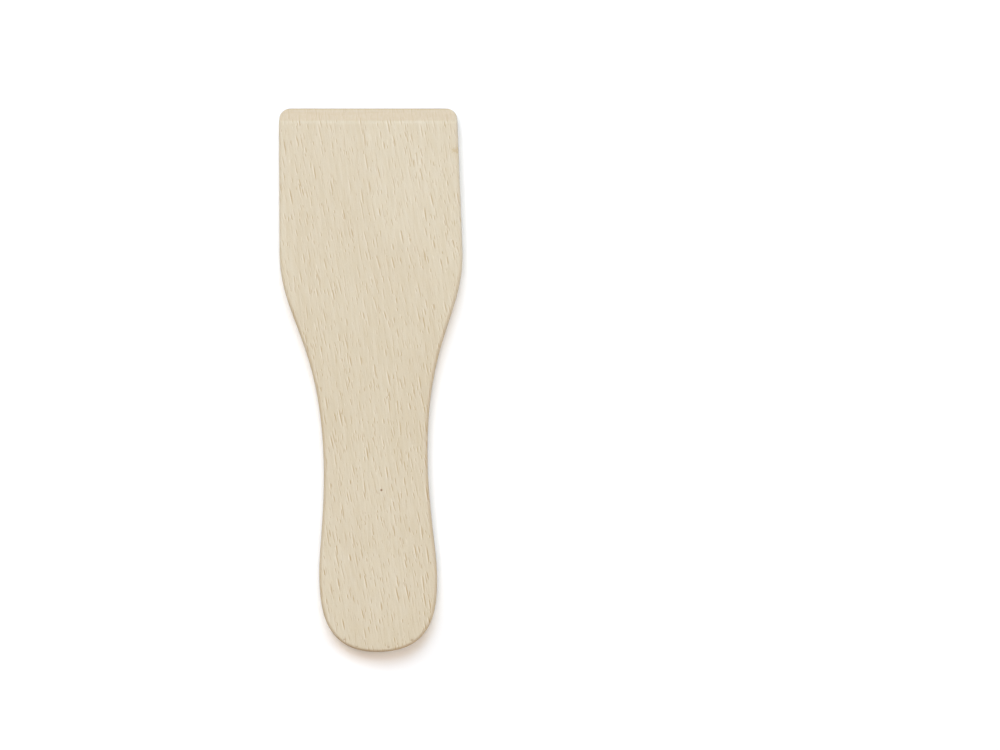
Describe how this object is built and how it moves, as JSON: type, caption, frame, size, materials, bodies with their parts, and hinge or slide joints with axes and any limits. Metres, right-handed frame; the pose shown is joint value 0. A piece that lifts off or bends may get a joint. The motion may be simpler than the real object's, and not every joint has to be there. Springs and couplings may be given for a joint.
{
  "type": "clay modeling tool",
  "caption": "Flat beech spatula for smoothing and cutting clay: a wide blade with a bevelled working edge, a waist and a rounded palm end.",
  "frame": {"origin": "in the flat back face, under the middle of the tool's bounding box", "axes": "+Z out of the front face, +Y along the tool from the butt to the working edge, +X across the blade to the right when the front is seen with the working edge at the top"},
  "size_m": [0.0438, 0.1308, 0.005],
  "materials": {
    "beech": "fine-sanded pale beech, unvarnished"
  },
  "bodies": {
    "root": {"beech_spatula": "beech"}
  },
  "joints": []
}
